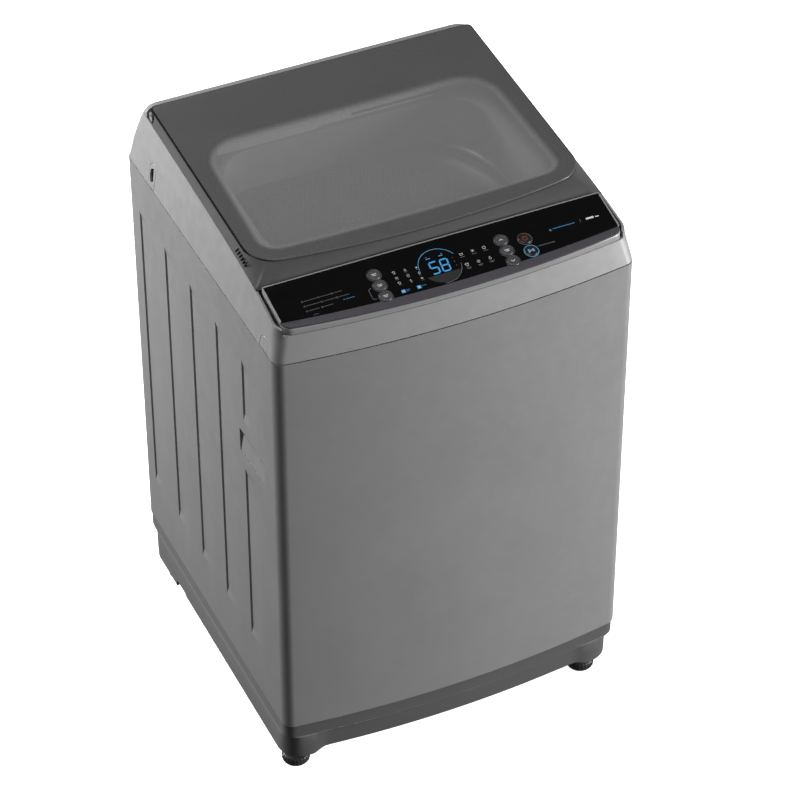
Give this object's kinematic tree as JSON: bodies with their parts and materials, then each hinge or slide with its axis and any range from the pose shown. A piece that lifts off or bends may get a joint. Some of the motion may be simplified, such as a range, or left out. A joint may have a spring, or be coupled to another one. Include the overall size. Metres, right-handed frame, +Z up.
{
  "type": "top load washing machine",
  "caption": "Upright top load washing machine with a glazed lift-up lid, a sloping touch console, ribbed sides, and a sprung tub with basket and pulsator.",
  "frame": {"origin": "on the floor under the middle of the machine's outline", "axes": "+Z up, -Y towards somebody at the console, +X to that person's right"},
  "size_m": [0.55, 0.5848, 0.9124],
  "materials": {
    "silver_paint": "satin",
    "zinc_steel": "satin",
    "silver_plastic": "satin",
    "dark_plastic": "satin",
    "black_plastic": "matte",
    "smoked_glass": "polished",
    "black_glass": "polished",
    "board_green": "satin",
    "grey_plastic": "satin",
    "white_plastic": "satin",
    "cast_alloy": "cast",
    "rubber": "matte",
    "stainless": "polished"
  },
  "bodies": {
    "cabinet": {"cabinet_wrap": "silver_paint", "back_panel": "zinc_steel", "suspension_rod_front_left": "zinc_steel", "suspension_rod_front_right": "zinc_steel", "suspension_rod_rear_left": "zinc_steel", "suspension_rod_rear_right": "zinc_steel", "suspension_spring_front_left": "zinc_steel", "suspension_spring_front_right": "zinc_steel", "suspension_spring_rear_left": "zinc_steel", "suspension_spring_rear_right": "zinc_steel", "top_frame": "silver_plastic", "side_cap_left": "silver_plastic", "side_cap_right": "silver_plastic", "cord_gland": "silver_plastic", "console_bezel": "silver_plastic", "carry_handle_left": "silver_plastic", "carry_handle_right": "silver_plastic", "base_plinth": "dark_plastic", "console_trim": "dark_plastic", "lid_lock": "black_plastic", "pressure_switch": "black_plastic", "drain_outlet": "black_plastic", "console_glass": "black_glass", "control_board": "board_green", "dispenser_housing": "grey_plastic", "inlet_valve": "white_plastic", "drain_hose": "rubber"},
    "lid": {"lid_frame": "dark_plastic", "lid_glass": "smoked_glass", "hinge_pin_left": "zinc_steel", "hinge_pin_right": "zinc_steel"},
    "tub": {"outer_tub": "white_plastic", "tub_cover": "white_plastic", "bearing_plate": "zinc_steel", "clutch_housing": "cast_alloy", "motor": "cast_alloy", "drain_valve": "white_plastic", "drive_belt": "rubber"},
    "basket": {"basket": "stainless", "balance_ring": "grey_plastic", "basket_hub": "cast_alloy"},
    "pulsator_drive": {"pulsator": "grey_plastic", "pulsator_bolt": "grey_plastic", "drive_shaft": "zinc_steel", "large_pulley": "cast_alloy"},
    "motor_rotor": {"motor_pulley": "zinc_steel"},
    "detergent_drawer": {"detergent_drawer": "grey_plastic"},
    "lint_filter": {"lint_filter": "grey_plastic"},
    "button_left_rear": {"button_left_rear": "dark_plastic"},
    "button_left_middle": {"button_left_middle": "dark_plastic"},
    "button_left_front": {"button_left_front": "dark_plastic"},
    "button_up": {"button_up": "dark_plastic"},
    "button_select": {"button_select": "dark_plastic"},
    "button_down": {"button_down": "dark_plastic"},
    "button_power": {"button_power": "dark_plastic"},
    "button_start": {"button_start": "dark_plastic"},
    "foot_front_left": {"foot_front_left": "black_plastic"},
    "foot_front_right": {"foot_front_right": "black_plastic"},
    "foot_rear_left": {"foot_rear_left": "black_plastic"},
    "foot_rear_right": {"foot_rear_right": "black_plastic"}
  },
  "joints": [
    {"name": "lid_hinge", "type": "hinge", "parent": "cabinet", "child": "lid", "pos_m": [0, 0.2116, 0.906], "axis": [-1, 0, 0], "range_deg": [0, 98]},
    {"name": "tub_suspension", "type": "slide", "parent": "cabinet", "child": "tub", "axis": [0, 0, 1], "range_m": [-0.01, 0.01], "stiffness_N_per_m": 12000, "springref_m": 0.01779, "deforming": ["suspension_spring_front_left", "suspension_spring_front_right", "suspension_spring_rear_left", "suspension_spring_rear_right", "drain_hose"]},
    {"name": "basket_spin", "type": "hinge", "parent": "tub", "child": "basket", "pos_m": [0, 0, 0.5], "axis": [0, 0, 1], "continuous": true},
    {"name": "pulsator_spin", "type": "hinge", "parent": "tub", "child": "pulsator_drive", "pos_m": [0, 0, 0.27], "axis": [0, 0, 1], "continuous": true},
    {"name": "motor_spin", "type": "hinge", "parent": "tub", "child": "motor_rotor", "pos_m": [0, 0.165, 0.131], "axis": [0, 0, 1], "continuous": true},
    {"name": "drawer_slide", "type": "slide", "parent": "cabinet", "child": "detergent_drawer", "axis": [0, -0.9984, -0.0562], "range_m": [0, 0.07]},
    {"name": "filter_slide", "type": "slide", "parent": "basket", "child": "lint_filter", "axis": [0, 0, 1], "range_m": [0, 0.02]},
    {"name": "button_left_rear_press", "type": "slide", "parent": "cabinet", "child": "button_left_rear", "axis": [0, 0.2214, -0.9752], "range_m": [0, 0.0012], "stiffness_N_per_m": 600},
    {"name": "button_left_middle_press", "type": "slide", "parent": "cabinet", "child": "button_left_middle", "axis": [0, 0.2214, -0.9752], "range_m": [0, 0.0012], "stiffness_N_per_m": 600},
    {"name": "button_left_front_press", "type": "slide", "parent": "cabinet", "child": "button_left_front", "axis": [0, 0.2214, -0.9752], "range_m": [0, 0.0012], "stiffness_N_per_m": 600},
    {"name": "button_up_press", "type": "slide", "parent": "cabinet", "child": "button_up", "axis": [0, 0.2214, -0.9752], "range_m": [0, 0.0012], "stiffness_N_per_m": 600},
    {"name": "button_select_press", "type": "slide", "parent": "cabinet", "child": "button_select", "axis": [0, 0.2214, -0.9752], "range_m": [0, 0.0012], "stiffness_N_per_m": 600},
    {"name": "button_down_press", "type": "slide", "parent": "cabinet", "child": "button_down", "axis": [0, 0.2214, -0.9752], "range_m": [0, 0.0012], "stiffness_N_per_m": 600},
    {"name": "button_power_press", "type": "slide", "parent": "cabinet", "child": "button_power", "axis": [0, 0.2214, -0.9752], "range_m": [0, 0.0012], "stiffness_N_per_m": 600},
    {"name": "button_start_press", "type": "slide", "parent": "cabinet", "child": "button_start", "axis": [0, 0.2214, -0.9752], "range_m": [0, 0.0012], "stiffness_N_per_m": 600},
    {"name": "foot_front_left_height", "type": "slide", "parent": "cabinet", "child": "foot_front_left", "axis": [0, 0, -1], "range_m": [0, 0.012]},
    {"name": "foot_front_right_height", "type": "slide", "parent": "cabinet", "child": "foot_front_right", "axis": [0, 0, -1], "range_m": [0, 0.012]},
    {"name": "foot_rear_left_height", "type": "slide", "parent": "cabinet", "child": "foot_rear_left", "axis": [0, 0, -1], "range_m": [0, 0.012]},
    {"name": "foot_rear_right_height", "type": "slide", "parent": "cabinet", "child": "foot_rear_right", "axis": [0, 0, -1], "range_m": [0, 0.012]}
  ],
  "couplings": [
    {"joint": "motor_spin", "follows": "pulsator_spin", "ratio": 4.3333}
  ]
}
